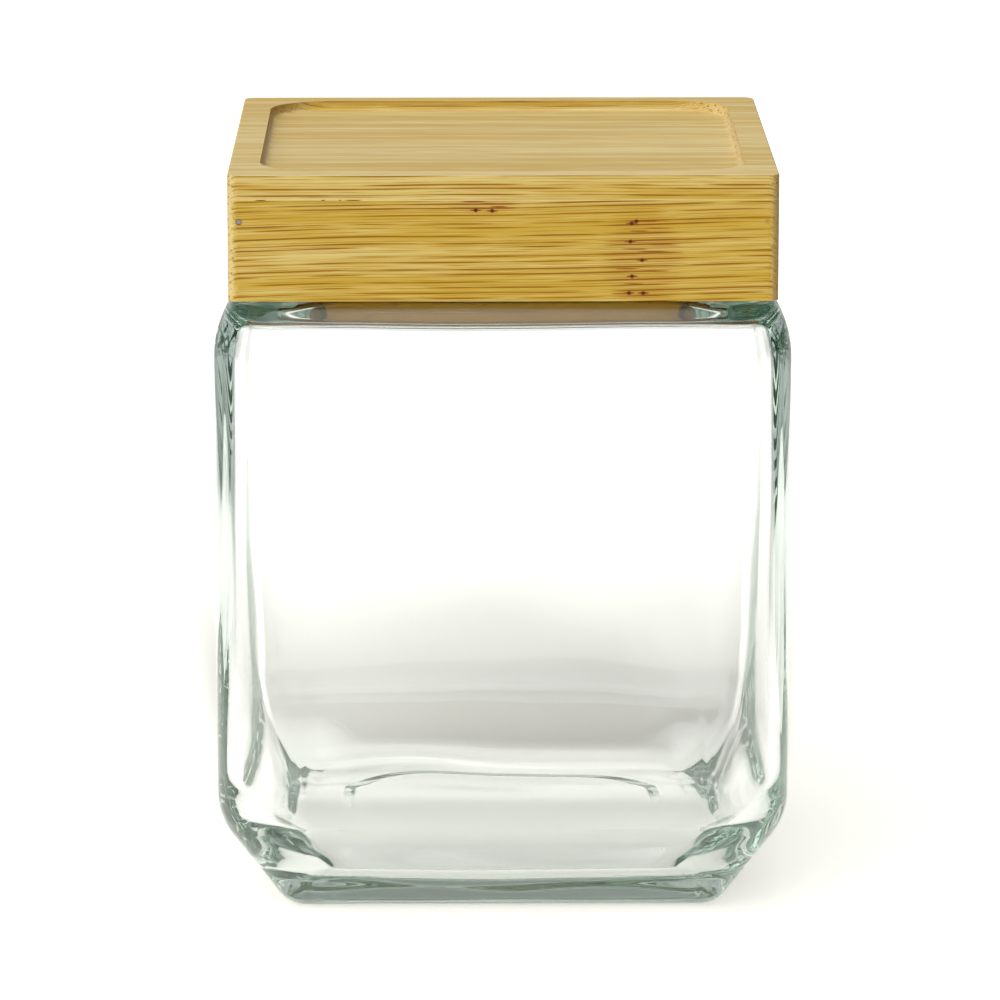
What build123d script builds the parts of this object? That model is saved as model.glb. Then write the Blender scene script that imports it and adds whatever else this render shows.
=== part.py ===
from build123d import *
from math import atan2, ceil, hypot, radians, tan
import os

# A square glass canister with a bevelled foot and a bamboo box lid.
# Millimetres, +Z up, the front faces -Y, and the origin is at the middle of the underside.

# Glass jar, outside
jar_width = 100.0
shoulder_height = 109.2
bevel_height = 16.4
bevel_inset = 12.4
bevel_bend_radius = 11.8
foot_corner_radius = 3.4
foot_edge_radius = 5.8
shoulder_fall = 6.8
shoulder_inset = 3.6
shoulder_edge_radius = 3.1
shoulder_sweep_share = 0.82

# Glass jar, inside
glass_wall = 3.0
floor_thickness = 7.0
bevel_glass = 5.9
inner_floor_radius = 4.6
inner_floor_lead = 0.4
inner_bend_radius = 8.0
shoulder_glass = 4.0
inner_shoulder_fall = 3.0
inner_shoulder_inset = 1.6
inner_shoulder_radius = 2.6

# Hollow under the foot, which leaves a flat ring to stand on
foot_ring_width = 5.5
foot_hollow_depth = 0.8
foot_hollow_corner = 5.0

# Neck, which the lid hides
neck_height = 17.9
neck_wall = 3.5
neck_corner_radius = 14.0
rim_radius = 1.1

# Bamboo lid
lid_setback = 3.05
lid_corner_radius = 2.0
lid_edge_radius = 0.3
top_thickness = 4.2
rail_thickness = 4.0
rail_lift = 0.4
neck_side_gap = 1.85
strip_pitch = 20.3
first_strip_width = 10.9

# Recess in the top, where the foot of a second jar nests
recess_depth = 1.7
recess_rim = 5.2
recess_corner_radius = 10.3
recess_cove_radius = 1.4

# Nails at the corners
nail_diameter = 0.8
nail_length = 12.0
nail_drop = 8.0
nail_set = 0.15

# Plug and seal
spacer_thickness = 4.0
plug_thickness = 4.0
plug_gap = 1.5
plug_edge_radius = 0.8
seal_groove = 2.5
seal_gap = 0.3
seal_lip_count = 3
seal_lip_share = 0.55

# Overrun of every cut
overrun = 2.0

# Levels and half widths that follow from the sizes above.
# Foot and walls turn their corners about the same upright lines, at jar_axis on either side.
jar_half = jar_width / 2
jar_axis = jar_half - bevel_inset - foot_corner_radius
bevel_slope = atan2(bevel_inset, bevel_height)
foot_turn = radians(90) - bevel_slope
rim_level = shoulder_height + neck_height
lid_half = jar_half - lid_setback
lid_top = rim_level + top_thickness
rail_bottom = shoulder_height + rail_lift
rail_inner = lid_half - rail_thickness
neck_half = rail_inner - neck_side_gap
neck_axis = neck_half - neck_corner_radius
mouth_half = neck_half - neck_wall
ceiling = shoulder_height - shoulder_glass
plug_half = mouth_half - plug_gap
spacer_half = plug_half - seal_groove
spacer_bottom = rim_level - spacer_thickness
plug_bottom = spacer_bottom - plug_thickness


def square_form(profile, axis_place, low=None, high=None):
    """Carry a profile in XZ round a square whose corners turn about (axis_place, axis_place)."""
    side = extrude(profile, amount=axis_place, both=True)
    corner_axis = Axis((axis_place, axis_place, 0), (0, 0, 1))
    corner = revolve(Pos(0, axis_place, 0) * profile, axis=corner_axis, revolution_arc=90)
    pieces = [Rot(0, 0, 90 * turn) * piece for turn in range(4) for piece in (side, corner)]
    if high is not None:
        core = Box(2 * axis_place, 2 * axis_place, high - low)
        pieces.append(Pos(0, 0, (low + high) / 2) * core)
    form = pieces[0].fuse(*pieces[1:])
    return form.clean()


def outline_face(points, radii):
    """Close a line of XZ points, rounded by the radii at its inner points, into a face."""
    places = [(x, 0, z) for x, z in points]
    edge = FilletPolyline(*places, radius=radii)
    return make_face([*edge.edges(), Line(places[-1], places[0])])


def slab(low, high):
    """A block between two corners."""
    size = [b - a for a, b in zip(low, high)]
    middle = [(a + b) / 2 for a, b in zip(low, high)]
    return Pos(*middle) * Box(*size)


def tangent_run(radius, turn):
    """How much of each leg an arc of this radius takes where the line turns by this angle."""
    return radius * tan(turn / 2)


def soft_radius(fall, inset, edge_radius, share):
    """The radius that fills what the tight arc leaves of a shoulder's sloping leg."""
    slope = atan2(inset, fall)
    left = hypot(fall, inset) - tangent_run(edge_radius, radians(90) - slope)
    return share * left / tan(slope / 2)


def jar_outside():
    """The walls with the bevelled foot and the soft shoulder."""
    sweep_radius = soft_radius(
        shoulder_fall, shoulder_inset, shoulder_edge_radius, shoulder_sweep_share
    )
    points = [
        (jar_axis, 0),
        (jar_half - bevel_inset, 0),
        (jar_half, bevel_height),
        (jar_half, shoulder_height - shoulder_fall),
        (jar_half - shoulder_inset, shoulder_height),
        (jar_axis, shoulder_height),
    ]
    radii = [foot_edge_radius, bevel_bend_radius, sweep_radius, shoulder_edge_radius]
    return square_form(outline_face(points, radii), jar_axis, 0, shoulder_height)


def jar_cavity():
    """The hollow from the floor to the underside of the shoulder."""
    inner = jar_half - glass_wall
    floor_edge = jar_half - bevel_inset + floor_thickness * tan(bevel_slope) - bevel_glass
    floor_flat_end = floor_edge - tangent_run(inner_floor_radius, foot_turn)
    corner_place = min(jar_axis, floor_flat_end - inner_floor_lead)
    bend = bevel_height + (bevel_glass - glass_wall) / tan(bevel_slope)
    sweep_radius = soft_radius(
        inner_shoulder_fall, inner_shoulder_inset, inner_shoulder_radius, shoulder_sweep_share
    )
    points = [
        (corner_place, floor_thickness),
        (floor_edge, floor_thickness),
        (inner, bend),
        (inner, ceiling - inner_shoulder_fall),
        (inner - inner_shoulder_inset, ceiling),
        (corner_place, ceiling),
    ]
    radii = [inner_floor_radius, inner_bend_radius, sweep_radius, inner_shoulder_radius]
    return square_form(outline_face(points, radii), corner_place, floor_thickness, ceiling)


def jar_neck():
    """The neck, solid, with the outer half of its rounded rim."""
    points = [
        (neck_axis, ceiling),
        (neck_half, ceiling),
        (neck_half, rim_level),
        (neck_axis, rim_level),
    ]
    return square_form(outline_face(points, [0, rim_radius]), neck_axis, ceiling, rim_level)


def jar_mouth():
    """The way through the neck, with the inner half of the rounded rim."""
    low = ceiling - overrun
    high = rim_level + overrun
    rim_middle = mouth_half + neck_wall / 2
    points = [
        (neck_axis, low),
        (mouth_half, low),
        (mouth_half, rim_level),
        (rim_middle, rim_level),
        (rim_middle, high),
        (neck_axis, high),
    ]
    return square_form(outline_face(points, [0, rim_radius, 0, 0]), neck_axis, low, high)


def foot_hollow():
    """The shallow hollow under the foot."""
    half = jar_half - bevel_inset - tangent_run(foot_edge_radius, foot_turn) - foot_ring_width
    axis_place = half - foot_hollow_corner
    points = [
        (axis_place, -overrun),
        (half, -overrun),
        (half - foot_hollow_depth, foot_hollow_depth),
        (axis_place, foot_hollow_depth),
    ]
    return square_form(outline_face(points, [0, 0]), axis_place, -overrun, foot_hollow_depth)


def glass_jar():
    return (jar_outside() + jar_neck() - jar_cavity() - jar_mouth() - foot_hollow()).clean()


def lid_envelope():
    """The outside of the whole lid, with eased corners and a crisp top edge."""
    axis_place = lid_half - lid_corner_radius
    points = [
        (axis_place, rail_bottom),
        (lid_half, rail_bottom),
        (lid_half, lid_top),
        (axis_place, lid_top),
    ]
    return square_form(outline_face(points, [0, lid_edge_radius]), axis_place, rail_bottom, lid_top)


def lid_recess():
    """The routed recess, whose cutter leaves a cove all round the floor."""
    half = lid_half - recess_rim
    axis_place = half - recess_corner_radius
    floor = lid_top - recess_depth
    high = lid_top + overrun
    points = [(axis_place, high), (half, high), (half, floor), (axis_place, floor)]
    profile = outline_face(points, [0, recess_cove_radius])
    return square_form(profile, axis_place, floor, high)


def top_strips(envelope):
    """The top board, as strips along X from the front edge to the back edge."""
    board = envelope - lid_recess()
    count = round((2 * lid_half - first_strip_width) / strip_pitch) + 1
    seams = [-lid_half + first_strip_width + strip_pitch * n for n in range(count - 1)]
    reach = lid_half + overrun
    edges = [-reach, *seams, reach]
    strips = {}
    for number, (front, back) in enumerate(zip(edges, edges[1:]), start=1):
        region = slab((-reach, front, rim_level), (reach, back, lid_top + overrun))
        strips[f"top_strip_{number}"] = board & region
    return strips


def nail_spots():
    """Each nail's name, with the side in X and the side in Y that it is on."""
    names = {}
    for depth, side_y in (("front", -1), ("back", 1)):
        for hand, side_x in (("left", -1), ("right", 1)):
            names[f"{depth}_{hand}_nail"] = (side_x, side_y)
    return names


def nail(side_x, side_y):
    """One headless nail, through the long rail and into the end of the side rail."""
    middle = lid_half - nail_set - nail_length / 2
    place = Pos(side_x * (lid_half - rail_thickness / 2), side_y * middle, lid_top - nail_drop)
    return place * Rot(90, 0, 0) * Cylinder(nail_diameter / 2, nail_length)


def nail_hole(side_x, side_y):
    """The hole that a nail leaves, open at the face of the long rail."""
    length = nail_length + nail_set + overrun
    middle = lid_half + overrun - length / 2
    place = Pos(side_x * (lid_half - rail_thickness / 2), side_y * middle, lid_top - nail_drop)
    return place * Rot(90, 0, 0) * Cylinder(nail_diameter / 2, length)


def rails(envelope):
    """Two long rails the full width of the lid, and two side rails that butt between them."""
    reach = lid_half + overrun
    regions = {
        "front_rail": ((-reach, -reach), (reach, -rail_inner)),
        "back_rail": ((-reach, rail_inner), (reach, reach)),
        "left_rail": ((-reach, -rail_inner), (-rail_inner, rail_inner)),
        "right_rail": ((rail_inner, -rail_inner), (reach, rail_inner)),
    }
    made = {}
    for name, (low, high) in regions.items():
        rail = envelope & slab((*low, rail_bottom - overrun), (*high, rim_level))
        for side_x, side_y in nail_spots().values():
            rail = rail - nail_hole(side_x, side_y)
        made[name] = rail
    return made


def glued_ply(name, form, half, along_x):
    """Cut a ply into strips on either side of its middle seam."""
    count = ceil(half / strip_pitch)
    inner_seams = [strip_pitch * n for n in range(1 - count, count)]
    reach = half + overrun
    edges = [-reach, *inner_seams, reach]
    strips = {}
    for number, (start, end) in enumerate(zip(edges, edges[1:]), start=1):
        if along_x:
            region = slab((-reach, start, 0), (reach, end, lid_top))
        else:
            region = slab((start, -reach, 0), (end, reach, lid_top))
        strips[f"{name}_{number}"] = form & region
    return strips


def spacer_strips():
    """The plug's smaller upper layer, laid across the top board's grain."""
    points = [
        (neck_axis, spacer_bottom),
        (spacer_half, spacer_bottom),
        (spacer_half, rim_level),
        (neck_axis, rim_level),
    ]
    form = square_form(outline_face(points, [0, 0]), neck_axis, spacer_bottom, rim_level)
    return glued_ply("spacer_strip", form, spacer_half, False)


def plug_strips():
    """The plug's larger lower layer, which holds the seal up in its groove."""
    points = [
        (neck_axis, plug_bottom),
        (plug_half, plug_bottom),
        (plug_half, spacer_bottom),
        (neck_axis, spacer_bottom),
    ]
    profile = outline_face(points, [plug_edge_radius, 0])
    form = square_form(profile, neck_axis, plug_bottom, spacer_bottom)
    return glued_ply("plug_strip", form, plug_half, True)


def seal_ring():
    """A ring in the groove, whose lips reach almost to the mouth of the jar."""
    lip_pitch = spacer_thickness / seal_lip_count
    lip_tip = mouth_half - seal_gap
    points = [(spacer_half, spacer_bottom), (plug_half, spacer_bottom)]
    for lip in range(seal_lip_count):
        base = spacer_bottom + lip * lip_pitch
        points.append((lip_tip, base + lip_pitch * seal_lip_share / 2))
        points.append((lip_tip, base + lip_pitch * seal_lip_share))
        points.append((plug_half, base + lip_pitch))
    points.append((spacer_half, rim_level))
    return square_form(outline_face(points, [0] * (len(points) - 2)), neck_axis)


def all_pieces():
    envelope = lid_envelope()
    pieces = {"glass_jar": glass_jar()}
    pieces.update(top_strips(envelope))
    pieces.update(rails(envelope))
    pieces.update({name: nail(*spot) for name, spot in nail_spots().items()})
    pieces.update(spacer_strips())
    pieces.update(plug_strips())
    pieces["seal_ring"] = seal_ring()
    return pieces


os.makedirs("parts", exist_ok=True)
for node, shape in all_pieces().items():
    export_step(shape, f"parts/{node}.step")
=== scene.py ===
# %% [markdown]
# # A square glass canister with a bamboo box lid
#
# The canister has two bodies: a thick clear glass jar with a bevelled foot, and a lid that is a
# small bamboo box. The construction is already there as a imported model, and this script dresses
# it: it models the glass as a smooth shell, gives every strip of bamboo its own grain, and lights
# the whole like a product on a white table.

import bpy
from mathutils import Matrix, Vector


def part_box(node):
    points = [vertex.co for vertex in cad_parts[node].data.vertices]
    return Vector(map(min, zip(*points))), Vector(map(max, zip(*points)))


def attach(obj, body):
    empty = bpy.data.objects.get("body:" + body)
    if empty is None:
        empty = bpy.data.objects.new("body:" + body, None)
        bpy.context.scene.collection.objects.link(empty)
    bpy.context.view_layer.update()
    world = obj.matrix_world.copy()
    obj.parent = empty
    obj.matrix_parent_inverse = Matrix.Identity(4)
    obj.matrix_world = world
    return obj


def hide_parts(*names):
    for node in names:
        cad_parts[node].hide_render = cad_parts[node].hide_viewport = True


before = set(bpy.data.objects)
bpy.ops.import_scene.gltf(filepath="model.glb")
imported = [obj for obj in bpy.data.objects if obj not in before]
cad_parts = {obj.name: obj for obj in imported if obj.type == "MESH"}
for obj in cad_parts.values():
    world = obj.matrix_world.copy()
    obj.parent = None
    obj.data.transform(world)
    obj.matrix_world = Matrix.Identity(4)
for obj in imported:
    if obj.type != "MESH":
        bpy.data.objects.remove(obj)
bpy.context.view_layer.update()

# %% [markdown]
# ## Units and small helpers
#
# Blender works in metres, and a maker thinks of a jar in millimetres, so one value turns one into
# the other. Colours are picked as the hex values that a screen shows. The renderer works with
# linear light, so one function turns a hex value into linear numbers.

# %% Units and colours
import math

import bmesh
import bpy
from mathutils import Matrix, Vector, noise

MM = 0.001


def linear(hex_value):
    """Turn an sRGB hex colour, such as "c9a24a", into linear red, green, blue and alpha."""
    channels = [int(hex_value[i:i + 2], 16) / 255 for i in (0, 2, 4)]
    straight = [c / 12.92 if c <= 0.04045 else ((c + 0.055) / 1.055) ** 2.4 for c in channels]
    return (*straight, 1.0)


for node_name in sorted(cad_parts):
    low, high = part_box(node_name)
    size = [round((b - a) / MM, 1) for a, b in zip(low, high)]
    print(f"{node_name}: {size} mm")

# %% [markdown]
# Every finish here is a tree of nodes. One helper adds a node of any kind, sets its properties and
# fills its inputs: by name from a dictionary, or in their order from a list. It takes a plain
# value, an output, or another node, which stands for its first output that is in use. So one node
# can be written into the next, as a sum is written out term by term. Two settings come back often
# enough to have a name: a change that starts and ends softly, and a mix of two colours.

# %% One helper for all nodes
SMOOTH = {"interpolation_type": "SMOOTHSTEP"}
COLOUR = {"data_type": "RGBA"}


def add_node(tree, kind, inputs=(), **settings):
    """Add one node to a tree, set its properties, and fill or link its inputs."""
    made = tree.nodes.new(kind)
    for name, value in settings.items():
        setattr(made, name, value)
    in_use = [socket for socket in made.inputs if socket.enabled]
    by_name = isinstance(inputs, dict)
    for key, source in inputs.items() if by_name else enumerate(inputs):
        socket = made.inputs[key] if by_name else in_use[key]
        if isinstance(source, bpy.types.Node):
            source = next(output for output in source.outputs if output.enabled)
        if isinstance(source, bpy.types.NodeSocket):
            tree.links.new(source, socket)
        else:
            socket.default_value = source
    return made


def new_material(name):
    """A material of this name, with an empty tree of nodes."""
    material = bpy.data.materials.new(name)
    material.use_nodes = True
    material.node_tree.nodes.clear()
    print("material", name)
    return material


print("soft change:", SMOOTH, "colour mix:", COLOUR)

# %% [markdown]
# ## The camera
#
# The photograph was taken with a long lens, from about a metre away and a little above the lid,
# almost straight in front. The long lens keeps the sides of the jar nearly parallel. Its place and
# its lens were fitted to the edges of the lid and the glass. The camera looks at a point near the
# middle of the jar, so no lens shift is needed.

# %% Camera
CAMERA_PLACE = Vector((-8.6, -1059.9, 289.0)) * MM
CAMERA_TARGET = Vector((-0.2, 0.0, 65.1)) * MM
SENSOR_WIDTH = 36.0
FOCAL_LENGTH = 217.3

scene = bpy.context.scene
camera_data = bpy.data.cameras.new("camera")
camera_data.sensor_width = SENSOR_WIDTH
camera_data.lens = FOCAL_LENGTH
camera = bpy.data.objects.new("camera", camera_data)
camera.location = CAMERA_PLACE
camera.rotation_euler = (CAMERA_TARGET - CAMERA_PLACE).to_track_quat("-Z", "Y").to_euler()
scene.collection.objects.link(camera)
bpy.context.scene.camera = camera
print("camera distance", round((CAMERA_TARGET - CAMERA_PLACE).length, 3), "m")

# %% [markdown]
# ## The studio
#
# Clear glass has hardly any colour of its own: it shows its surroundings, bent. A glass product is
# therefore shot in a white tent whose sides are left darker, so that the edges of the glass pick up
# some tone and stand out. The tent could be built from sheets and lamps, but as a pattern on the
# world's background it is simpler and makes less noise. It is bright behind the jar and overhead,
# with weaker cloth between the two, grey at the sides, and darkest on the right, which shades the
# right end of the lid. A large lamp shines through the cloth from the front left. It fades out
# softly, because a lamp with sharp edges would show as a hard white rectangle in the glass.
#
# A zone of the tent is a pair of numbers. They say how far a direction of length 1 reaches to the
# back, up, to the right or to the lamp where the zone starts, and where it is full.

# %% White tent
TENT_BACK = 1.0
TENT_SIDE = 0.28
TENT_TOP = 0.88
HIGH_WALL_SHARE = 0.4
RIGHT_SHARE = 0.35
LAMP_LEVEL = 2.3
LAMP_DIRECTION = Vector((-0.45, -0.66, 0.6)).normalized()
BACK_ZONE = (0.55, 0.9)
HIGH_WALL_ZONE = (0.08, 0.32)
TOP_ZONE = (0.15, 0.7)
RIGHT_ZONE = (0.25, 0.8)
LAMP_ZONE = (0.65, 0.97)

world = bpy.data.worlds.new("white_tent")
world.use_nodes = True
scene.world = world
tree = world.node_tree
tree.nodes.clear()
direction = add_node(tree, "ShaderNodeTexCoord").outputs["Generated"]
to_right, to_back, upwards = add_node(tree, "ShaderNodeSeparateXYZ", [direction]).outputs
to_lamp = add_node(tree, "ShaderNodeVectorMath", [direction, LAMP_DIRECTION], operation="DOT_PRODUCT")
back = add_node(tree, "ShaderNodeMapRange", [to_back, *BACK_ZONE, TENT_SIDE, TENT_BACK], **SMOOTH)
high = add_node(tree, "ShaderNodeMapRange", [upwards, *HIGH_WALL_ZONE, 1.0, HIGH_WALL_SHARE], **SMOOTH)
top = add_node(tree, "ShaderNodeMapRange", [upwards, *TOP_ZONE, 0.0, TENT_TOP], **SMOOTH)
right = add_node(tree, "ShaderNodeMapRange", [to_right, *RIGHT_ZONE, 1.0, RIGHT_SHARE], **SMOOTH)
lamp = add_node(tree, "ShaderNodeMapRange", [to_lamp, *LAMP_ZONE, 0.0, LAMP_LEVEL], **SMOOTH)
walls = add_node(tree, "ShaderNodeMath", [back, high], operation="MULTIPLY")
cloth = add_node(tree, "ShaderNodeMath", [walls, top], operation="MAXIMUM")
shaded = add_node(tree, "ShaderNodeMath", [cloth, right], operation="MULTIPLY")
level = add_node(tree, "ShaderNodeMath", [shaded, lamp], operation="ADD")
background = add_node(tree, "ShaderNodeBackground", {"Strength": level})
add_node(tree, "ShaderNodeOutputWorld", {"Surface": background})
print("white tent:", len(tree.nodes), "nodes")

# %% [markdown]
# A ray of light is thrown to and fro inside thick glass many times before it comes out. Where the
# renderer gives up too early it leaves a black spot, so rays in glass get many bounces. Light that
# is scattered by bamboo or by the table is nearly even after a few. The plain view transform
# shows the colours as they were picked, without the softening of a film.

# %% Bounces of light
GLASS_BOUNCES = 96
SCATTER_BOUNCES = 6

scene.view_settings.view_transform = "Standard"
scene.cycles.max_bounces = GLASS_BOUNCES
scene.cycles.transmission_bounces = GLASS_BOUNCES
scene.cycles.glossy_bounces = GLASS_BOUNCES
scene.cycles.diffuse_bounces = SCATTER_BOUNCES
print("bounces:", GLASS_BOUNCES, "in glass,", SCATTER_BOUNCES, "between matt things")

# %% [markdown]
# The jar stands on a light table, a sheet of opal acrylic that is lit from below. It throws light
# up into the thick foot of the glass and fills the shadow of the jar, which leaves the ground
# almost white. A flat grid is enough for it. The sheet lies a tenth of a millimetre under the
# foot, so that glass and sheet never share a surface, which would leave noise in the picture.

# %% Light table
TABLE_SIDE = 6.0
TABLE_CELLS = 8
TABLE_GAP = 0.1 * MM

table_mesh = bpy.data.meshes.new("light_table")
grid = bmesh.new()
bmesh.ops.create_grid(grid, x_segments=TABLE_CELLS, y_segments=TABLE_CELLS, size=TABLE_SIDE / 2)
grid.to_mesh(table_mesh)
grid.free()
table = bpy.data.objects.new("light_table", table_mesh)
table.location.z = -TABLE_GAP
scene.collection.objects.link(table)
print("light table", TABLE_GAP / MM, "mm under the foot")

# %% [markdown]
# Opal acrylic scatters light so well that it is matt and even, and its white is slightly warm.
# Lamps under a milky sheet would be slow and noisy to render, so here the sheet itself glows, in a
# pattern. The faint clouds in its white, each a sixth of a metre across, are larger than in a real
# sheet, so that they show at all.
#
# Only a lane of the sheet is lit, a little wider at the back. Beside it the sheet fades to pale
# grey, which gives the edges of the glass their tone. Inside the lane are two soft-edged patches.
# Behind the jar the light is weaker, which shows through the glass as a grey haze above the floor.
# Under the jar's back half it is stronger, which makes the floor bright. Each edge is the place
# where the light starts to change and the place where it is done.

# %% Lit opal acrylic
ACRYLIC_WHITE = "fafaf2"
ACRYLIC_PALE = "fcfcf5"
ACRYLIC_GREY = "c6cbc7"
LIGHT_WHITE = "fdfdf6"
TABLE_GLOW = 0.5
EXTRA_GLOW = 0.35
CLOUD_SIZE = 1000 * MM / 6
LANE_WIDENING = 0.1
LANE_EDGE = (100 * MM, 280 * MM)
WEAK_PATCH = ((53 * MM, 41 * MM), (32 * MM, 82 * MM), (340 * MM, 80 * MM))
STRONG_PATCH = ((45 * MM, 30 * MM), (-15 * MM, 5 * MM), (45 * MM, 35 * MM))


def patch(tree, aside, ahead, side_edge, front_edge, rear_edge):
    """1 inside a patch of the table and 0 outside, with soft edges at the sides, front and back."""
    side = add_node(tree, "ShaderNodeMapRange", [aside, *side_edge], **SMOOTH)
    front = add_node(tree, "ShaderNodeMapRange", [ahead, *front_edge], **SMOOTH)
    rear = add_node(tree, "ShaderNodeMapRange", [ahead, *rear_edge], **SMOOTH)
    depth = add_node(tree, "ShaderNodeMath", [front, rear], operation="MULTIPLY")
    return add_node(tree, "ShaderNodeMath", [side, depth], operation="MULTIPLY")


acrylic = new_material("lit_opal_acrylic")
tree = acrylic.node_tree
spots = add_node(tree, "ShaderNodeTexCoord").outputs["Object"]
cloud = add_node(tree, "ShaderNodeTexNoise", {"Vector": spots, "Scale": 1 / CLOUD_SIZE, "Detail": 3.0})
white = add_node(tree, "ShaderNodeMix", [cloud, linear(ACRYLIC_WHITE), linear(ACRYLIC_PALE)], **COLOUR)
across, ahead, _ = add_node(tree, "ShaderNodeSeparateXYZ", [spots]).outputs
aside = add_node(tree, "ShaderNodeMath", [across], operation="ABSOLUTE")
widening = add_node(tree, "ShaderNodeMath", [ahead, LANE_WIDENING], operation="MULTIPLY")
in_lane = add_node(tree, "ShaderNodeMath", [aside, widening], operation="SUBTRACT")
fade = add_node(tree, "ShaderNodeMapRange", [in_lane, *LANE_EDGE], **SMOOTH)
shade = add_node(tree, "ShaderNodeMix", [fade, white, linear(ACRYLIC_GREY)], **COLOUR)
weak = patch(tree, in_lane, ahead, *WEAK_PATCH)
strong = patch(tree, aside, ahead, *STRONG_PATCH)
unlit = add_node(tree, "ShaderNodeMath", [fade, weak], operation="MAXIMUM")
lit = add_node(tree, "ShaderNodeMapRange", [unlit, 0.0, 1.0, TABLE_GLOW, 0.0], **SMOOTH)
extra = add_node(tree, "ShaderNodeMath", [strong, EXTRA_GLOW], operation="MULTIPLY")
glow = add_node(tree, "ShaderNodeMath", [lit, extra], operation="ADD")
surface = add_node(tree, "ShaderNodeBsdfPrincipled", {
    "Base Color": shade, "Roughness": 0.9, "Specular IOR Level": 0.1,
    "Emission Color": linear(LIGHT_WHITE), "Emission Strength": glow,
})
add_node(tree, "ShaderNodeOutputMaterial", {"Surface": surface})
table_mesh.materials.append(acrylic)
print("lit lane", round(2 * LANE_EDGE[0] / MM), "mm wide beside the jar")

# %% [markdown]
# ## The glass jar
#
# The real jar is pressed and blown in a square mould. Outside it follows the mould: flat walls,
# round upright corners, a bevelled foot and a soft shoulder. Inside it is shaped by air, so the
# wall is never quite even, and the glass is thick at the floor and behind the bevel. The upright
# corners inside are tight under the shoulder and rounder at the foot. The neck under the lid leans
# in slightly, as it has to come out of its mould. All of it shows in the bright and dark lines.
#
# The shell could be cut from blocks, but a mesh from such cuts has long thin faces, and every
# facet would bend the light on its own. So the shell is drawn as one line, from the middle of the
# underside, up the outside, over the rim and down the inside to the middle of the floor. The line
# is then carried round a square with rounded corners, which gives even, smooth faces. The rim
# stays just clear of the board above it, and the shoulder just clear of the rails.

# %% Sizes of the jar
RIM_GAP = 0.2 * MM
RAIL_GAP = 0.4 * MM

jar_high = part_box("glass_jar")[1]
rail_low, rail_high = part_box("front_rail")
JAR_HALF = jar_high.x
RIM_LEVEL = jar_high.z - RIM_GAP
SHOULDER_LEVEL = rail_low.z - RAIL_GAP
BEVEL_HEIGHT = 16.4 * MM
BEVEL_INSET = 12.4 * MM
NECK_HALF = 41.1 * MM
NECK_DRAFT = 0.4 * MM
WALL_CORNER = 15.75 * MM
NECK_CORNER = 14.0 * MM

wall_axis = JAR_HALF - WALL_CORNER
neck_axis = NECK_HALF - NECK_CORNER
print("jar half width", round(JAR_HALF / MM, 2), "mm, rim at", round(RIM_LEVEL / MM, 2), "mm")

# %% [markdown]
# The inside follows from the thickness of the glass. The wall is 3 mm, as in a jar of this size,
# and the floor is more than twice as thick. Behind the bevel the inner face keeps its distance from
# the outer one, so the floor's edge and the inner bend follow from the slope of the bevel.

# %% Sizes of the inside
GLASS_WALL = 3.0 * MM
FLOOR_THICKNESS = 7.0 * MM
BEVEL_GLASS = 5.9 * MM
SHOULDER_GLASS = 4.0 * MM
NECK_WALL = 3.5 * MM
INNER_TOP_CORNER = 9.0 * MM
INNER_FOOT_CORNER = 12.0 * MM

inner_half = JAR_HALF - GLASS_WALL
mouth_half = NECK_HALF - NECK_WALL
ceiling = SHOULDER_LEVEL - SHOULDER_GLASS
slope = BEVEL_INSET / BEVEL_HEIGHT
floor_edge = JAR_HALF - BEVEL_INSET + FLOOR_THICKNESS * slope - BEVEL_GLASS
inner_bend = BEVEL_HEIGHT + (BEVEL_GLASS - GLASS_WALL) / slope
inner_top_axis = inner_half - INNER_TOP_CORNER
inner_foot_axis = inner_half - INNER_FOOT_CORNER
print("inner bend at", round(inner_bend / MM, 2), "mm, ceiling at", round(ceiling / MM, 2), "mm")

# %% [markdown]
# Each corner of the line is listed with its half width, its height, the place about which its
# upright corner turns, its own rounding, and how far the unevenness of the inside reaches it. The
# ceiling is the underside of the shoulder. It is flat and meets the mouth in a sharp corner, and so
# it mirrors the bamboo of the plug, which draws the brown band under the lid.

# %% Corners of the line
FOOT_HOLLOW_HALF = 29.2 * MM
FOOT_HOLLOW_DEPTH = 0.8 * MM
FOOT_HOLLOW_SLOPE = 2.4 * MM
HOLLOW_AXIS = 12.8 * MM
FOOT_AXIS = 14.2 * MM
FLOOR_AXIS = 26.0 * MM
SHOULDER_FALL = 6.8 * MM
SHOULDER_INSET = 3.6 * MM
CEILING_FALL = 6.0 * MM
CEILING_INSET = 1.6 * MM
HOLLOW_ROUND = 4.0 * MM
FOOT_ROUND = 2.5 * MM
FOOT_EDGE_ROUND = 5.8 * MM
BEVEL_ROUND = 11.8 * MM
WALL_TOP_ROUND = 19.0 * MM
SHOULDER_ROUND = 3.1 * MM
NECK_ROOT_ROUND = 1.2 * MM
RIM_ROUND = 1.1 * MM
MOUTH_ROUND = 0.8 * MM
CEILING_ROUND = 2.6 * MM
INNER_TOP_ROUND = 16.0 * MM
INNER_BEND_ROUND = 14.0 * MM
FLOOR_ROUND = 7.5 * MM
MOUTH_SHARE = 0.3

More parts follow.
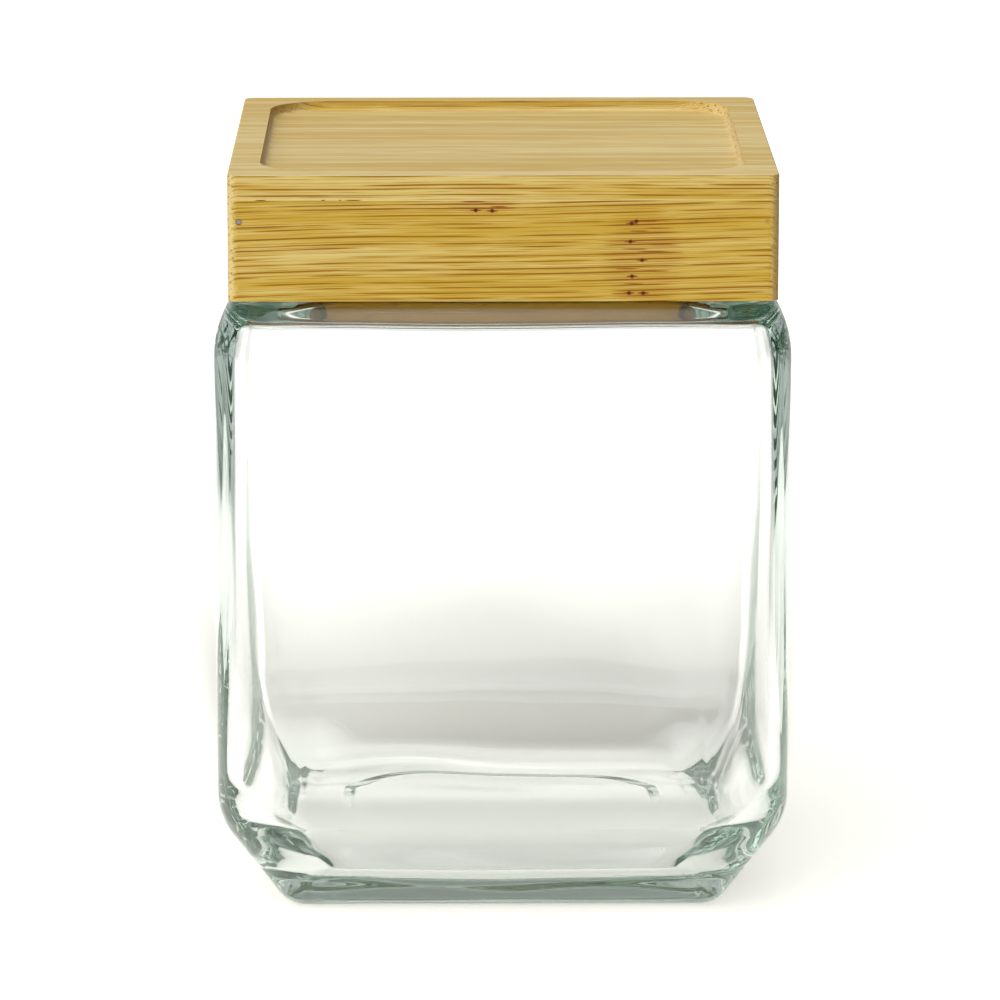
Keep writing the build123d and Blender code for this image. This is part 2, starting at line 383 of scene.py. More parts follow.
corner_list = [
    (0.0, FOOT_HOLLOW_DEPTH, 0.0, 0, 0),
    (FOOT_HOLLOW_HALF - FOOT_HOLLOW_SLOPE, FOOT_HOLLOW_DEPTH, HOLLOW_AXIS, HOLLOW_ROUND, 0),
    (FOOT_HOLLOW_HALF, 0.0, FOOT_AXIS, FOOT_ROUND, 0),
    (JAR_HALF - BEVEL_INSET, 0.0, wall_axis, FOOT_EDGE_ROUND, 0),
    (JAR_HALF, BEVEL_HEIGHT, wall_axis, BEVEL_ROUND, 0),
    (JAR_HALF, SHOULDER_LEVEL - SHOULDER_FALL, wall_axis, WALL_TOP_ROUND, 0),
    (JAR_HALF - SHOULDER_INSET, SHOULDER_LEVEL, wall_axis, SHOULDER_ROUND, 0),
    (NECK_HALF, SHOULDER_LEVEL, neck_axis, NECK_ROOT_ROUND, 0),
    (NECK_HALF - NECK_DRAFT, RIM_LEVEL, neck_axis, RIM_ROUND, 0),
    (mouth_half, RIM_LEVEL, neck_axis, RIM_ROUND, 0),
    (mouth_half, ceiling, neck_axis, MOUTH_ROUND, MOUTH_SHARE),
    (inner_half - CEILING_INSET, ceiling, inner_top_axis, CEILING_ROUND, 1),
    (inner_half, ceiling - CEILING_FALL, inner_top_axis, INNER_TOP_ROUND, 1),
    (inner_half, inner_bend, inner_foot_axis, INNER_BEND_ROUND, 1),
    (floor_edge, FLOOR_THICKNESS, FLOOR_AXIS, FLOOR_ROUND, 1),
    (0.0, FLOOR_THICKNESS, 0.0, 0, 1),
]
print("corners of the line:", len(corner_list))

# %% [markdown]
# Blender's bevel could round the finished shell. Done on the line instead, each corner can have a
# rounding of its own, and the points stay even. A sharp corner is swapped for points along an arc
# that touches both legs, one point every few degrees. The straight runs get points too, because
# the waviness that comes later needs points to move.

# %% Round and divide the line
ARC_STEP = math.radians(6)
RUN_STEP = 2.5 * MM


def rounded_line(corners):
    """Points (half width, height, corner axis, inside share) along a line with rounded corners."""
    line = []
    for index, (half, height, axis, radius, inside) in enumerate(corners):
        here = Vector((half, height))
        if radius == 0:
            line.append((here, axis, inside))
            continue
        back = (Vector(corners[index - 1][:2]) - here).normalized()
        ahead = (Vector(corners[index + 1][:2]) - here).normalized()
        turn = math.pi - back.angle(ahead)
        run = radius * math.tan(turn / 2)
        centre = here + (back + ahead).normalized() * (radius / math.cos(turn / 2))
        start = here + back * run - centre
        steps = max(2, math.ceil(turn / ARC_STEP))
        side = 1 if back.x * ahead.y - back.y * ahead.x < 0 else -1
        for step in range(steps + 1):
            point = centre + Matrix.Rotation(side * turn * step / steps, 2) @ start
            line.append((point, axis, inside))
    return line


def divided_line(line):
    """Add points along each straight run that is longer than RUN_STEP."""
    divided = [line[0]]
    for (start, start_axis, start_in), (end, end_axis, end_in) in zip(line, line[1:]):
        steps = max(1, math.ceil((end - start).length / RUN_STEP))
        for step in range(1, steps + 1):
            share = step / steps
            point = start.lerp(end, share)
            axis = start_axis + (end_axis - start_axis) * share
            divided.append((point, axis, start_in + (end_in - start_in) * share))
    return divided


profile = divided_line(rounded_line(corner_list))
print("points on the line:", len(profile))

# %% [markdown]
# A ring of the shell is a square with rounded corners. The same number of points lies on every
# ring, so neighbouring rings join with four-sided faces. At the two ends of the line the ring is a
# single point in the middle. An upright corner never gets quite sharp, because points that fall
# together would leave faces without a surface.

# %% Rings of the shell
SIDE_POINTS = 26
ARC_POINTS = 14
SHARPEST = 0.98
MIDDLE = 0.001 * MM


def ring_points(half, axis):
    """Points round a square of this half width, whose corners turn about (axis, axis)."""
    axis = max(0.0, min(axis, half * SHARPEST))
    radius = half - axis
    points = []
    for quarter in range(4):
        turn = Matrix.Rotation(quarter * math.pi / 2, 2)
        for step in range(SIDE_POINTS):
            across = -axis + 2 * axis * step / SIDE_POINTS
            points.append(turn @ Vector((half, across)))
        for step in range(ARC_POINTS):
            angle = (math.pi / 2) * step / ARC_POINTS
            spot = Vector((axis + radius * math.cos(angle), axis + radius * math.sin(angle)))
            points.append(turn @ spot)
    return points


def add_rings(shell):
    """Add the points of every ring of the profile to the shell, and return them ring by ring."""
    rings = []
    for point, axis, _ in profile:
        flat = [Vector((0.0, 0.0))] if point.x < MIDDLE else ring_points(point.x, axis)
        rings.append([shell.verts.new((p.x, p.y, point.y)) for p in flat])
    return rings


def join_rings(shell, rings):
    """Fill the shell with faces from ring to ring, all facing outwards."""
    for lower, upper in zip(rings, rings[1:]):
        count = max(len(lower), len(upper))
        for i in range(count):
            j = (i + 1) % count
            if len(lower) == 1:
                shell.faces.new((lower[0], upper[j], upper[i]))
            elif len(upper) == 1:
                shell.faces.new((lower[i], lower[j], upper[0]))
            else:
                shell.faces.new((lower[i], lower[j], upper[j], upper[i]))
    bmesh.ops.recalc_face_normals(shell, faces=shell.faces)
    shell.normal_update()


print("points on a ring:", 4 * (SIDE_POINTS + ARC_POINTS))

# %% [markdown]
# Blown glass has three kinds of unevenness, and each moves the points of the inside along their
# normals. The whole inside strays by a few tenths of a millimetre, in waves a third of the jar
# wide. The walls are thin in their middle and thick all round, because the air inside swells like
# a bubble and bulges most there. The floor and the underside of the shoulder swell slowly, the
# floor the most.
#
# A displace modifier could do this with one noise texture. But how a point moves depends on the
# part of the jar that it lies in, so each kind of unevenness is a small function of the place.
# Every wave is a fixed field in space, so each run gives the same jar.

# %% Unevenness of the inside
WAVE_LENGTH = 34.0 * MM
WAVE_DEPTH = 0.32 * MM
QUICK_RATE = 2.3
QUICK_SHARE = 0.35
QUICK_OFFSET = Vector((7.0, 3.0, 5.0))
SLAB_WAVE_LENGTH = 30.0 * MM
SLAB_OFFSET = Vector((3.0, 1.0, 8.0))
FLOOR_WAVE_DEPTH = 1.1 * MM
CEILING_WAVE_DEPTH = 0.5 * MM
BOW_DEPTH = 1.1 * MM
BOW_REST = 0.4 * MM


def wave(point):
    """How far the blown inner wall strays here, in metres."""
    slow = noise.noise(point / WAVE_LENGTH)
    quick = noise.noise(point / (WAVE_LENGTH / QUICK_RATE) + QUICK_OFFSET)
    return WAVE_DEPTH * (slow + QUICK_SHARE * quick)


def slab_wave(point):
    """How far the thick floor and the shoulder's underside swell here, in metres."""
    depth = FLOOR_WAVE_DEPTH if point.z < inner_bend else CEILING_WAVE_DEPTH
    return depth * noise.noise(point / SLAB_WAVE_LENGTH + SLAB_OFFSET)


def bow(point):
    """How much thicker than its mean an upright wall is here: thin in its middle, thick all round."""
    across = min(abs(point.x), abs(point.y)) / wall_axis
    up = (2 * point.z - ceiling - inner_bend) / (ceiling - inner_bend)
    hollow = max(0.0, 1 - across ** 2) * max(0.0, 1 - up ** 2)
    return BOW_REST - BOW_DEPTH * hollow


print("walls vary from", round((BOW_REST - BOW_DEPTH) / MM, 1), "to", BOW_REST / MM, "mm about the mean")

# %% [markdown]
# The shell is made from these parts: rings, faces, then the unevenness, weighed by how upright the
# surface is and by each ring's share of the inside. Smooth shading hides the last facets.

# %% Glass shell
shell = bmesh.new()
rings = add_rings(shell)
join_rings(shell, rings)
for ring, (_, _, inside) in zip(rings, profile):
    for vert in ring:
        upright = vert.normal.to_2d().length
        shift = wave(vert.co) + bow(vert.co) * upright + slab_wave(vert.co) * (1 - upright)
        vert.co += vert.normal * shift * inside
glass_mesh = bpy.data.meshes.new("glass_shell")
shell.to_mesh(glass_mesh)
shell.free()
glass_mesh.shade_smooth()
glass = bpy.data.objects.new("glass_shell", glass_mesh)
scene.collection.objects.link(glass)
print("glass shell:", len(glass_mesh.polygons), "faces")

# %% [markdown]
# ## The glass itself
#
# Jar glass is soda-lime glass, fire-polished: perfectly smooth, with an index of refraction of
# 1.52. It gives the eye sharp bright reflections and a clear view that is only slightly bent by
# slow ripples, about four and a half of them across the jar's 100 mm. A little iron in the sand
# makes it green, but only where light runs a long way through it, along a wall or through a
# corner. So the colour isn't painted on the surface: it sits in the volume, as an absorption per
# metre.

# %% Soda-lime glass
GLASS_IOR = 1.52
GLASS_WHITE = "ffffff"
GLASS_TINT = "a8ccba"
GLASS_DENSITY = 10.5
RIPPLE_SIZE = 100 * MM / 4.5
RIPPLE_STRENGTH = 0.06
RIPPLE_DEPTH = 0.4 * MM

soda_glass = new_material("soda_lime_glass")
tree = soda_glass.node_tree
spots = add_node(tree, "ShaderNodeTexCoord").outputs["Object"]
ripple = add_node(tree, "ShaderNodeTexNoise", {"Vector": spots, "Scale": 1 / RIPPLE_SIZE, "Detail": 1.0})
relief = add_node(tree, "ShaderNodeBump", {
    "Height": ripple, "Strength": RIPPLE_STRENGTH, "Distance": RIPPLE_DEPTH,
})
surface = add_node(tree, "ShaderNodeBsdfPrincipled", {
    "Base Color": linear(GLASS_WHITE), "Roughness": 0.0, "IOR": GLASS_IOR,
    "Transmission Weight": 1.0, "Normal": relief,
})
absorption = add_node(tree, "ShaderNodeVolumeAbsorption", {
    "Color": linear(GLASS_TINT), "Density": GLASS_DENSITY,
})
add_node(tree, "ShaderNodeOutputMaterial", {"Surface": surface, "Volume": absorption})
glass_mesh.materials.append(soda_glass)
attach(glass, "jar")
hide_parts("glass_jar")
print("glass rides the jar, a ripple every", round(RIPPLE_SIZE / MM, 1), "mm")

# %% [markdown]
# ## Bamboo
#
# Bamboo isn't wood but a giant grass. Its strength is in bundles of fibre that run up the cane,
# about a millimetre apart in a softer, paler ground. Cut along the cane a bundle shows as a thin
# brown streak that fades out at both ends, and cut across it is a dark dot. An image of bamboo
# would have to be fitted to each strip, so the grain is a pattern in space instead, which every
# strip cuts in its own place.
#
# The grain is measured in millimetres along and across the cane. A slow noise pushes it sideways,
# so that the streaks wander a little, and a slight slope makes them rise along the strip, because
# a strip is never sawn quite parallel to the cane.

# %% Grain of bamboo
WANDER_LENGTH = 45.0
WANDER_WIDTH = 18.0
WANDER_DEPTH = 0.8


def grain_points(tree, along, shift, slope):
    """Millimetres along the grain in X and across it in Y and Z, with a slow wander of the grain."""
    spots = add_node(tree, "ShaderNodeTexCoord").outputs["Object"]
    turn = math.pi / 2 if along == "Y" else 0.0
    placed = add_node(tree, "ShaderNodeMapping", {
        "Vector": spots, "Location": shift, "Rotation": (0.0, slope, turn),
        "Scale": (1 / MM, 1 / MM, 1 / MM),
    })
    cells = (1 / WANDER_LENGTH, 1 / WANDER_WIDTH, 1 / WANDER_WIDTH)
    slow = add_node(tree, "ShaderNodeVectorMath", [placed, cells], operation="MULTIPLY")
    drift = add_node(tree, "ShaderNodeTexNoise", {"Vector": slow, "Scale": 1.0, "Detail": 1.0})
    reach = (0.0, WANDER_DEPTH, WANDER_DEPTH)
    return add_node(tree, "ShaderNodeVectorMath", [
        drift.outputs["Color"], reach, placed,
    ], operation="MULTIPLY_ADD")


print("the grain wanders by", WANDER_DEPTH, "mm or less")

# %% [markdown]
# Each streak has a lane of its own, a set distance from the next. Inside its lane it lies a little
# higher or lower by chance, and a noise along the cane makes it swell to a line and taper away to
# nothing. From lane to lane the noise is read several cells further on, so neighbours don't swell
# together. On a knot every line swells more. Lane by lane that gives fine crisp lines, where a
# plain stretched noise gives a blur. The zones below are levels of the noise, and the edges are
# millimetres from the side of a line.
#
# Bold streaks are the bundles, about a millimetre apart, and fine ones are the fibres between
# them. Real fine fibres are closer still, but closer lines would be lost in the render.

# %% Streaks
BOLD_STREAKS = {"pitch": 1.1, "length": 15.0, "widest": 0.12}
FINE_STREAKS = {"pitch": 0.52, "length": 9.0, "widest": 0.07}
LANE_CENTRES = (0.25, 0.75)
LANE_STEP = 7.31
WIDTH_ZONE = (0.34, 0.64)
STRENGTH_ZONE = (0.34, 0.46)
LINE_EDGE = (-0.04, 0.04)
HALO_EDGE = (-0.4, 0.05)
KNOT_SWELLING = 0.16


def streaks(tree, points, knot, pitch, length, widest):
    """Lines of fibre, one to a lane, and the soft golden halo round each of them, from 0 to 1."""
    x, y, z = add_node(tree, "ShaderNodeSeparateXYZ", [points]).outputs
    across = add_node(tree, "ShaderNodeMath", [y, z], operation="ADD")
    lanes = add_node(tree, "ShaderNodeMath", [across, pitch], operation="DIVIDE")
    lane = add_node(tree, "ShaderNodeMath", [lanes], operation="FLOOR")
    chance = add_node(tree, "ShaderNodeTexWhiteNoise", {"W": lane}, noise_dimensions="1D")
    centre = add_node(tree, "ShaderNodeMapRange", [chance, 0.0, 1.0, *LANE_CENTRES], **SMOOTH)
    in_lane = add_node(tree, "ShaderNodeMath", [lanes, lane], operation="SUBTRACT")
    aside = add_node(tree, "ShaderNodeMath", [in_lane, centre], operation="SUBTRACT")
    off_centre = add_node(tree, "ShaderNodeMath", [aside], operation="ABSOLUTE")
    distance = add_node(tree, "ShaderNodeMath", [off_centre, pitch], operation="MULTIPLY")

    along = add_node(tree, "ShaderNodeMath", [x, length], operation="DIVIDE")
    apart = add_node(tree, "ShaderNodeMath", [lane, LANE_STEP], operation="MULTIPLY")
    run = add_node(tree, "ShaderNodeCombineXYZ", [along, apart])
    swell = add_node(tree, "ShaderNodeTexNoise", {"Vector": run, "Scale": 1.0, "Detail": 1.0})
    swollen = add_node(tree, "ShaderNodeMath", [knot, KNOT_SWELLING, swell], operation="MULTIPLY_ADD")
    half = add_node(tree, "ShaderNodeMapRange", [swollen, *WIDTH_ZONE, 0.0, widest], **SMOOTH)
    strength = add_node(tree, "ShaderNodeMapRange", [swollen, *STRENGTH_ZONE], **SMOOTH)

    inside = add_node(tree, "ShaderNodeMath", [half, distance], operation="SUBTRACT")
    core = add_node(tree, "ShaderNodeMapRange", [inside, *LINE_EDGE], **SMOOTH)
    glow = add_node(tree, "ShaderNodeMapRange", [inside, *HALO_EDGE], **SMOOTH)
    line = add_node(tree, "ShaderNodeMath", [core, strength], operation="MULTIPLY")
    halo = add_node(tree, "ShaderNodeMath", [glow, strength], operation="MULTIPLY")
    return line, halo


print("streaks every", BOLD_STREAKS["pitch"], "and", FINE_STREAKS["pitch"], "mm")

# %% [markdown]
# Between the streaks the ground isn't one colour. Single fibres, an eighth of a millimetre wide,
# make it slightly stripy, and broad bands of a few millimetres drift from pale to golden. A wave
# texture would space them as evenly as the ribs of corduroy. A noise that is drawn out along the
# grain is uneven, as a plant is.

# %% Fibres and bands
FIBRES = (14.0, 0.13)
BANDS = (90.0, 3.2)


def drawn_noise(tree, points, length, width):
    """A noise in cells of this length along the grain and this width across it."""
    cells = (1 / length, 1 / width, 1 / width)
    scaled = add_node(tree, "ShaderNodeVectorMath", [points, cells], operation="MULTIPLY")
    return add_node(tree, "ShaderNodeTexNoise", {"Vector": scaled, "Scale": 1.0, "Detail": 2.0})


print("fibres", FIBRES[1], "mm wide, bands", BANDS[1], "mm wide")

# %% [markdown]
# At a knot of the cane the bundles branch, which leaves small dark dots where the branches are cut,
# and redder fibres beside them. Each mark is a soft spot round one place on the strip's face. Drawn
# long and flat, the same spots serve for the glue line and for the voids in it, where the glue ran
# short.

# %% Marks on the bamboo
KNOT_TINT = "8c4c00"
KNOT_BROWN = "561d00"
GLUE_CREAM = "e0d2a0"
STAIN_SHARE = 0.12
MARK_EDGE = (1.25, 0.6)


def marks(tree, places):
    """1 on each mark, for marks at (x, z) of a half length and half height, in millimetres."""
    spots = add_node(tree, "ShaderNodeTexCoord").outputs["Object"]
    total = 0.0
    for x, z, half_length, half_height in places:
        place = (x * MM, 0.0, z * MM)
        shrink = (1 / (half_length * MM), 0.0, 1 / (half_height * MM))
        away = add_node(tree, "ShaderNodeVectorMath", [spots, place], operation="SUBTRACT")
        scaled = add_node(tree, "ShaderNodeVectorMath", [away, shrink], operation="MULTIPLY")
        reach = add_node(tree, "ShaderNodeVectorMath", [scaled], operation="LENGTH")
        mark = add_node(tree, "ShaderNodeMapRange", [reach, *MARK_EDGE], **SMOOTH)
        total = add_node(tree, "ShaderNodeMath", [total, mark], operation="MAXIMUM")
    return total


def marked(tree, colour, knot, scars, glue, dots):
    """The colour of bamboo with a faint stain on its knots, and with all its marks."""
    stain = add_node(tree, "ShaderNodeMath", [knot, STAIN_SHARE], operation="MULTIPLY")
    tinted = add_node(tree, "ShaderNodeMath", [stain, marks(tree, scars)], operation="MAXIMUM")
    for share, tint in (
        (tinted, KNOT_TINT),
        (marks(tree, glue), GLUE_CREAM),
        (marks(tree, dots), KNOT_BROWN),
    ):
        colour = add_node(tree, "ShaderNodeMix", [share, colour, linear(tint)], **COLOUR)
    return colour


print("a mark fades out at", MARK_EDGE[0], "times its size")

# %% [markdown]
# The ground colour goes from pale straw to gold with the fibres and bands. Faces that look up, above
# all the wide faces of the top board, get a paler pair of colours: a painted sheen, the same bamboo
# lightened as the shine of the bright tent would lighten it. The undersides are browner. At rest they
# show only through the glass, as a brown band under the lid. One colour ramp could hold all these
# tones, but with a pair of colours for each kind of face, each can be matched by itself.

# %% Ground of the bamboo
GROUND_PALE = "d6bd76"
GROUND_GOLD = "c39f38"
# Painted sheen: the paler pair for faces that look up stands in for the tent's shine on the top board.
BOARD_SHEEN_PALE = "efda9c"
BOARD_SHEEN_GOLD = "dcbb68"
UNDERSIDE_BROWN = "bf8a00"
GOLD_ZONE = (0.8, 1.2)
BOARD_SHEEN_SHARE = 0.8
UNDER_ZONE = (-0.6, -0.9)
UNDER_SHARE = 0.9


def ground_colour(tree, fibre, band, tone, flat_share, upwards):
    """The colour between the streaks, for the sides, the top board with its painted sheen, and the
    undersides.
    """
    noises = add_node(tree, "ShaderNodeMath", [fibre, band], operation="ADD")
    toned = add_node(tree, "ShaderNodeMath", [noises, tone], operation="ADD")
    golden = add_node(tree, "ShaderNodeMapRange", [toned, *GOLD_ZONE], **SMOOTH)
    side = add_node(tree, "ShaderNodeMix", [golden, linear(GROUND_PALE), linear(GROUND_GOLD)], **COLOUR)
    # Faces that look up are painted paler, a painted sheen.
    board = add_node(tree, "ShaderNodeMix", [golden, linear(BOARD_SHEEN_PALE), linear(BOARD_SHEEN_GOLD)], **COLOUR)
    sheen_share = add_node(tree, "ShaderNodeMath", [flat_share, BOARD_SHEEN_SHARE], operation="MULTIPLY")
    ground = add_node(tree, "ShaderNodeMix", [sheen_share, side, board], **COLOUR)
    under = add_node(tree, "ShaderNodeMapRange", [upwards, *UNDER_ZONE, 0.0, UNDER_SHARE], **SMOOTH)
    return add_node(tree, "ShaderNodeMix", [under, ground, linear(UNDERSIDE_BROWN)], **COLOUR)


print("ground from", GROUND_PALE, "to", GROUND_GOLD)

# %% [markdown]
# The streaks are laid on in the order of the plant: a golden halo round each bundle, fine fibres,
# then the bundles themselves. On the wide faces of the top board they are much calmer than on the
# edges, where the bundles lie open. On a knot the bundles turn a redder brown.

# %% Streaks on the ground
HALO_GOLD = "ba8c10"
FINE_BROWN = "a67a00"
STREAK_BROWN = "8f5f00"
CALM_SHARE = 0.3
HALO_SHARE = 0.5
FINE_SHARE = 0.75
BOLD_SHARE = 1.0


def streaked(tree, points, ground, flat_share, knot):
    """The ground with its halos, its fine streaks and its bold streaks."""
    bold, bold_halo = streaks(tree, points, knot, **BOLD_STREAKS)
    fine, _ = streaks(tree, points, knot, **FINE_STREAKS)
    calm = add_node(tree, "ShaderNodeMapRange", [flat_share, 0.0, 1.0, 1.0, CALM_SHARE], **SMOOTH)
    brown = linear(STREAK_BROWN)
    if knot:
        brown = add_node(tree, "ShaderNodeMix", [knot, brown, linear(KNOT_TINT)], **COLOUR)
    colour = ground
    for part, share, tint in (
        (bold_halo, HALO_SHARE, linear(HALO_GOLD)),
        (fine, FINE_SHARE, linear(FINE_BROWN)),
        (bold, BOLD_SHARE, brown),
    ):
        weaker = add_node(tree, "ShaderNodeMath", [part, share], operation="MULTIPLY")
        calmer = add_node(tree, "ShaderNodeMath", [weaker, calm], operation="MULTIPLY")
        colour = add_node(tree, "ShaderNodeMix", [calmer, colour, tint], **COLOUR)
    return colour


print("streaks on the top board at", CALM_SHARE, "of their strength")

# %% [markdown]
# Where a strip ends, the bundles are cut across and show as brown pores in a cream ground. Real
# pores are about 0.6 mm apart, which the render can just show. A noise would give clouds here, and
# a pattern of cells gives a separate dot in each. The cells are far longer than the strips, so the
# same pores come out wherever the grain is cut. End grain that faces right is browner and darker:
# partly a browner tone of the cut ends, partly painted shade on the side away from the lamp.

# %% End grain
END_CREAM = "e2c888"
PORE_BROWN = "ad7f2c"
# Painted shade: ends that face right are browner and darker, partly their own browner tone.
SHADED_END_BROWN = "94691c"
PORE_LENGTH = 4000.0
PORE_PITCH = 0.62
PORE_DISORDER = 0.85
PORE_EDGE = (0.45, 0.2)
SHADED_END_ZONE = (0.15, 0.6)
SHADED_END_SHARE = 0.65


def end_grain(tree, points, to_right):
    """The colour of a cut end: pores in a pale ground, with painted shade on ends that face right."""
    cells = (1 / PORE_LENGTH, 1 / PORE_PITCH, 1 / PORE_PITCH)
    scaled = add_node(tree, "ShaderNodeVectorMath", [points, cells], operation="MULTIPLY")
    pores = add_node(tree, "ShaderNodeTexVoronoi", {
        "Vector": scaled, "Scale": 1.0, "Randomness": PORE_DISORDER,
    })
    pore = add_node(tree, "ShaderNodeMapRange", [pores, *PORE_EDGE], **SMOOTH)
    ends = add_node(tree, "ShaderNodeMix", [pore, linear(END_CREAM), linear(PORE_BROWN)], **COLOUR)
    # Painted shade on end grain that faces right, partly a browner tone of the cut ends.
    shaded_end = add_node(tree, "ShaderNodeMapRange", [to_right, *SHADED_END_ZONE, 0.0, SHADED_END_SHARE], **SMOOTH)
    return add_node(tree, "ShaderNodeMix", [shaded_end, ends, linear(SHADED_END_BROWN)], **COLOUR)


print("a pore every", PORE_PITCH, "mm")

# %% [markdown]
# The strips are sanded and rubbed with oil. That gives the eye a satin surface, warm and rather
# saturated face-on, with only a weak sheen, because open fibres break the shine. So the index of
# refraction is that of dried oil, the specular level is halved, and the roughness rises and falls
# with the fibres, which also stand up by a few hundredths of a millimetre.
#
# One function makes the material of a strip from the parts above. Which colour shows follows from
# the way a face looks: along the grain, up, down, or out at a cut end. The border of the end grain
# is made ragged with the fibres, as no saw cut through fibres is clean. Marks come last.

# %% Oiled bamboo
BAMBOO_IOR = 1.5
BAMBOO_SPECULAR = 0.25
ROUGHNESS = (0.4, 0.58)
RELIEF_STRENGTH = 0.25
RELIEF_DEPTH = 0.03 * MM
FLAT_ZONE = (0.6, 0.9)
FRAY = (0.3, 0.7, -0.3, 0.3)
END_ZONE = (0.4, 0.6)


def bamboo(name, along, shift, tone, slope, knots=(), scars=(), glue=(), dots=()):
    """Oiled bamboo, with its grain along X or Y and its own stretch of cane."""
    material = new_material(name)
    tree = material.node_tree
    points = grain_points(tree, along, shift, slope)
    fibre = drawn_noise(tree, points, *FIBRES)
    band = drawn_noise(tree, points, *BANDS)
    knot = marks(tree, knots)
    facing = add_node(tree, "ShaderNodeTexCoord").outputs["Normal"]
    sides = add_node(tree, "ShaderNodeSeparateXYZ", [facing]).outputs
    # flat_share picks the faces that look up, which get the painted sheen and calmer streaks.
    flat_share = add_node(tree, "ShaderNodeMapRange", [sides["Z"], *FLAT_ZONE], **SMOOTH)
    ground = ground_colour(tree, fibre, band, tone, flat_share, sides["Z"])
    lengthways = streaked(tree, points, ground, flat_share, knot)

    endways = add_node(tree, "ShaderNodeMath", [sides[along]], operation="ABSOLUTE")
    fray = add_node(tree, "ShaderNodeMapRange", [fibre, *FRAY], **SMOOTH)
    ragged = add_node(tree, "ShaderNodeMath", [endways, fray], operation="ADD")
    end_share = add_node(tree, "ShaderNodeMapRange", [ragged, *END_ZONE], **SMOOTH)
    # End grain that faces right gets painted shade.
    cut = end_grain(tree, points, sides["X"])
    colour = add_node(tree, "ShaderNodeMix", [end_share, lengthways, cut], **COLOUR)
    if knots:
        colour = marked(tree, colour, knot, scars, glue, dots)

    rough = add_node(tree, "ShaderNodeMapRange", [fibre, 0.0, 1.0, *ROUGHNESS], **SMOOTH)
    relief = add_node(tree, "ShaderNodeBump", {
        "Height": fibre, "Strength": RELIEF_STRENGTH, "Distance": RELIEF_DEPTH,
    })
    surface = add_node(tree, "ShaderNodeBsdfPrincipled", {
        "Base Color": colour, "Roughness": rough, "IOR": BAMBOO_IOR,
        "Specular IOR Level": BAMBOO_SPECULAR, "Normal": relief,
    })
    add_node(tree, "ShaderNodeOutputMaterial", {"Surface": surface})
    return material


print("oiled bamboo: roughness", ROUGHNESS[0], "to", ROUGHNESS[1])

# %% [markdown]
# Two knots cross the front rail in the photograph, a wide one right of the middle and a narrow one
# near the top. Their dots and redder fibres are placed one by one, since they are what the eye
# finds first. So are the glue line on top of the rail, the four voids in it, and the dark rim of
# the hole round the left nail. Each dot of a knot has a short dash of redder fibre through it. All
# are given by x and z in millimetres, with a half length and a half height.

# %% Marks of the front rail
NAIL_RIM = [(-44.95, 123.3, 0.55, 0.55)]
KNOTS = [(23.6, 117.0, 6.5, 9.0), (-3.3, 126.3, 5.5, 1.6)]
DOT = 0.36
DOT_TAIL = (1.1, 0.2)
KNOT_DOTS = [
    (21.8, 123.0), (22.6, 123.4), (21.6, 119.9), (23.6, 116.7), (21.9, 113.9), (21.4, 111.0),
    (23.8, 111.0), (-4.7, 125.3), (-1.9, 125.2),
]
KNOT_SCARS = [
    (-5.0, 126.8, 2.2, 0.15), (-2.6, 126.4, 2.0, 0.16), (-0.8, 125.9, 1.6, 0.13),
    (24.2, 123.4, 2.2, 0.13), (23.0, 121.7, 1.8, 0.11), (26.3, 122.2, 2.6, 0.1),
    (22.3, 118.6, 2.4, 0.14), (25.4, 118.2, 2.8, 0.12), (27.2, 119.3, 2.6, 0.09),
    (21.0, 115.2, 2.2, 0.1), (25.6, 114.8, 2.4, 0.13), (22.2, 112.6, 1.8, 0.1),
    (25.2, 110.6, 1.8, 0.12), (19.9, 110.9, 1.6, 0.1),
]
seam = rail_high.z / MM
GLUE_LINE = [(0.0, seam, 60.0, 0.14)]
GLUE_VOIDS = [
    (-41.2, seam, 1.0, 0.17), (-30.6, seam, 0.35, 0.15), (-27.7, seam, 0.25, 0.13),
    (-25.5, seam, 1.5, 0.16),
]
FRONT_MARKS = {
    "knots": KNOTS,
    "scars": KNOT_SCARS + [(x, z, *DOT_TAIL) for x, z in KNOT_DOTS],
    "glue": GLUE_LINE,
    "dots": [(x, z, DOT, DOT) for x, z in KNOT_DOTS] + NAIL_RIM + GLUE_VOIDS,
}
print("marks on the front rail:", sum(len(places) for places in FRONT_MARKS.values()))

# %% [markdown]
# Each strip comes from another stretch of cane, so its pattern is shifted and its tone is a little
# lighter or darker than its neighbour's. With one material for all of them the grain would run on
# from strip to strip, as it does in a solid block. The rails at the sides and the upper layer of
# the plug run from front to back, and all other strips from left to right.

# %% Dress the bamboo
TONES = (0.04, 0.08, -0.1, 0.06, -0.08)
CANE_STEP = (31.0, 17.0, 23.0)
FRONT_SLOPE = 0.018
PLAIN_SLOPE = 0.004


def dress(node_name, material):
    """Put a material on a CAD node's own material slot."""
    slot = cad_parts[node_name].material_slots[0]
    slot.link = "OBJECT"
    slot.material = material


bamboo_nodes = sorted(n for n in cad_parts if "strip" in n or "rail" in n)
for index, node_name in enumerate(bamboo_nodes):
    along = "Y" if node_name.startswith(("left", "right", "spacer")) else "X"
    shift = tuple(step * index for step in CANE_STEP)
    tone = TONES[index % len(TONES)]
    front = node_name == "front_rail"
    slope = FRONT_SLOPE if front else PLAIN_SLOPE
    own_marks = FRONT_MARKS if front else {}
    dress(node_name, bamboo(f"oiled_bamboo_{node_name}", along, shift, tone, slope, **own_marks))
    print(node_name, "grain along", along)

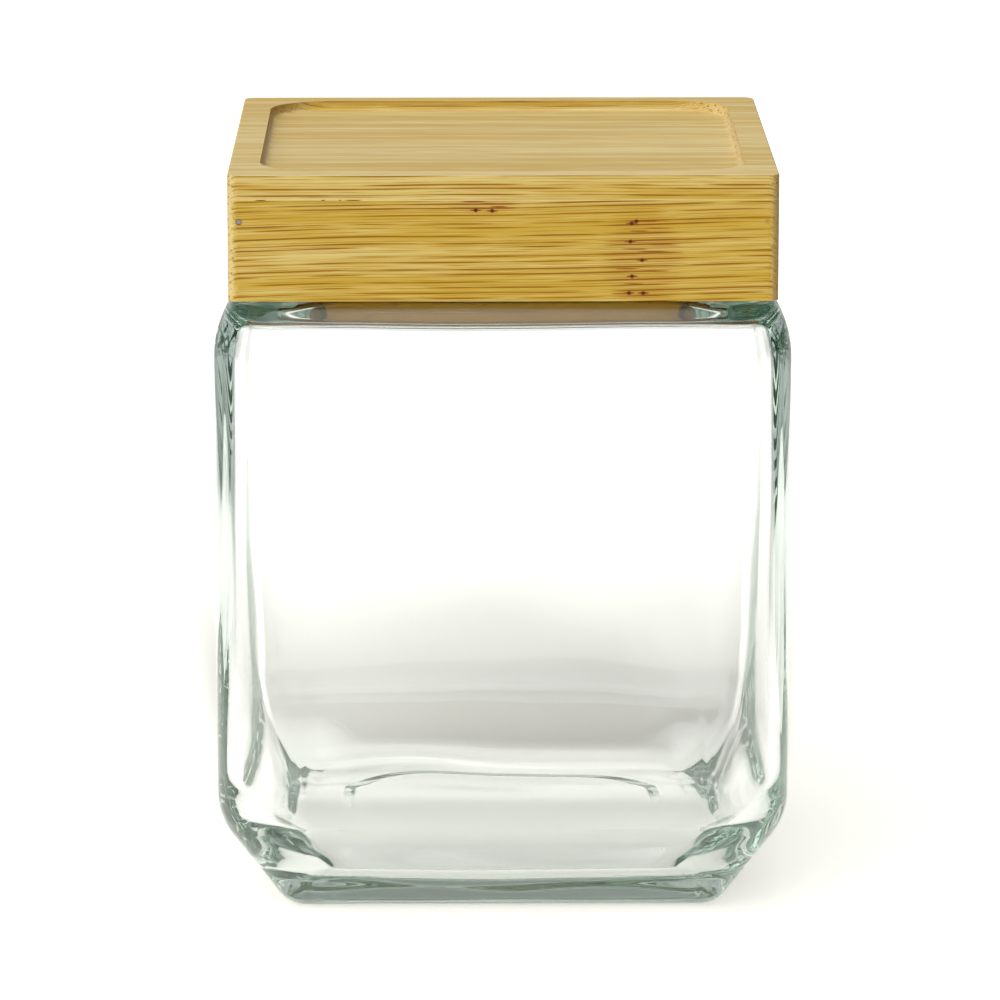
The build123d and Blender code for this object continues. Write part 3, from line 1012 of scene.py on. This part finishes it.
# %% [markdown]
# ## Nails and seal
#
# The small finishes that are left have the same make: a colour that drifts between two tones in
# soft spots, and one set of values for the surface. One function makes them all.
#
# The nails are bright drawn steel wire. Metal gives the eye a mirror of the tent in its own grey.
# Here the mirror is soft, because a cut end is never quite smooth, and dulled unevenly. The spots
# of that dulling are finer than a third of a millimetre on a real nail, and are drawn that coarse
# to show.

# %% Drawn steel wire
STEEL_SPOT = MM / 3
STEEL_BRIGHT = "b4b4b8"
STEEL_DULL = "7c7d84"
STEEL = {"Metallic": 1.0, "Roughness": 0.35}
SPOT_DETAIL = 2.0


def spotted(name, spot_size, first, second, finish):
    """A material whose colour drifts between two tones, in spots of this size."""
    material = new_material(name)
    tree = material.node_tree
    spots = add_node(tree, "ShaderNodeTexCoord").outputs["Object"]
    cloud = add_node(tree, "ShaderNodeTexNoise", {
        "Vector": spots, "Scale": 1 / spot_size, "Detail": SPOT_DETAIL,
    })
    colour = add_node(tree, "ShaderNodeMix", [cloud, linear(first), linear(second)], **COLOUR)
    surface = add_node(tree, "ShaderNodeBsdfPrincipled", {"Base Color": colour, **finish})
    add_node(tree, "ShaderNodeOutputMaterial", {"Surface": surface})
    return material


steel = spotted("drawn_steel_wire", STEEL_SPOT, STEEL_BRIGHT, STEEL_DULL, STEEL)
for node_name in ("front_left_nail", "back_left_nail", "back_right_nail"):
    dress(node_name, steel)
print("steel spots", round(STEEL_SPOT / MM, 2), "mm")

# %% [markdown]
# The front right nail doesn't show in the photograph. Its head is sunk and filled over with a paste
# of glue and bamboo dust, matt and close to the colour of the rail. The dust is in grains of about
# a fifth of a millimetre.

# %% Glue and bamboo dust
DUST_GRAIN = 0.2 * MM
DUST_PALE = "c9a652"
DUST_BROWN = "a87c1c"
PASTE = {"Roughness": 0.6}

filled = spotted("glue_and_bamboo_dust", DUST_GRAIN, DUST_PALE, DUST_BROWN, PASTE)
dress("front_right_nail", filled)
print("dust grains", DUST_GRAIN / MM, "mm")

# %% [markdown]
# The seal is moulded silicone rubber, milky and soft. Light goes in and comes out again about a
# millimetre away, which gives it a soft, waxy look, and its moulded skin is half matt. The milk in
# it isn't quite even, in clouds of two and a half millimetres.

# %% Moulded silicone
MILK_CLOUD = 2.5 * MM
MILK_WHITE = "eceeea"
MILK_GREY = "dfe2de"
SILICONE = {
    "Roughness": 0.5, "Subsurface Weight": 0.3, "Subsurface Scale": 1.0 * MM, "IOR": 1.41,
}

silicone = spotted("moulded_silicone", MILK_CLOUD, MILK_WHITE, MILK_GREY, SILICONE)
dress("seal_ring", silicone)
print("silicone clouds", MILK_CLOUD / MM, "mm")

# %% [markdown]
# ## Size of the construction
#
# The dressed model has to keep the size of the construction.

# %% Finish
print("dressing done")
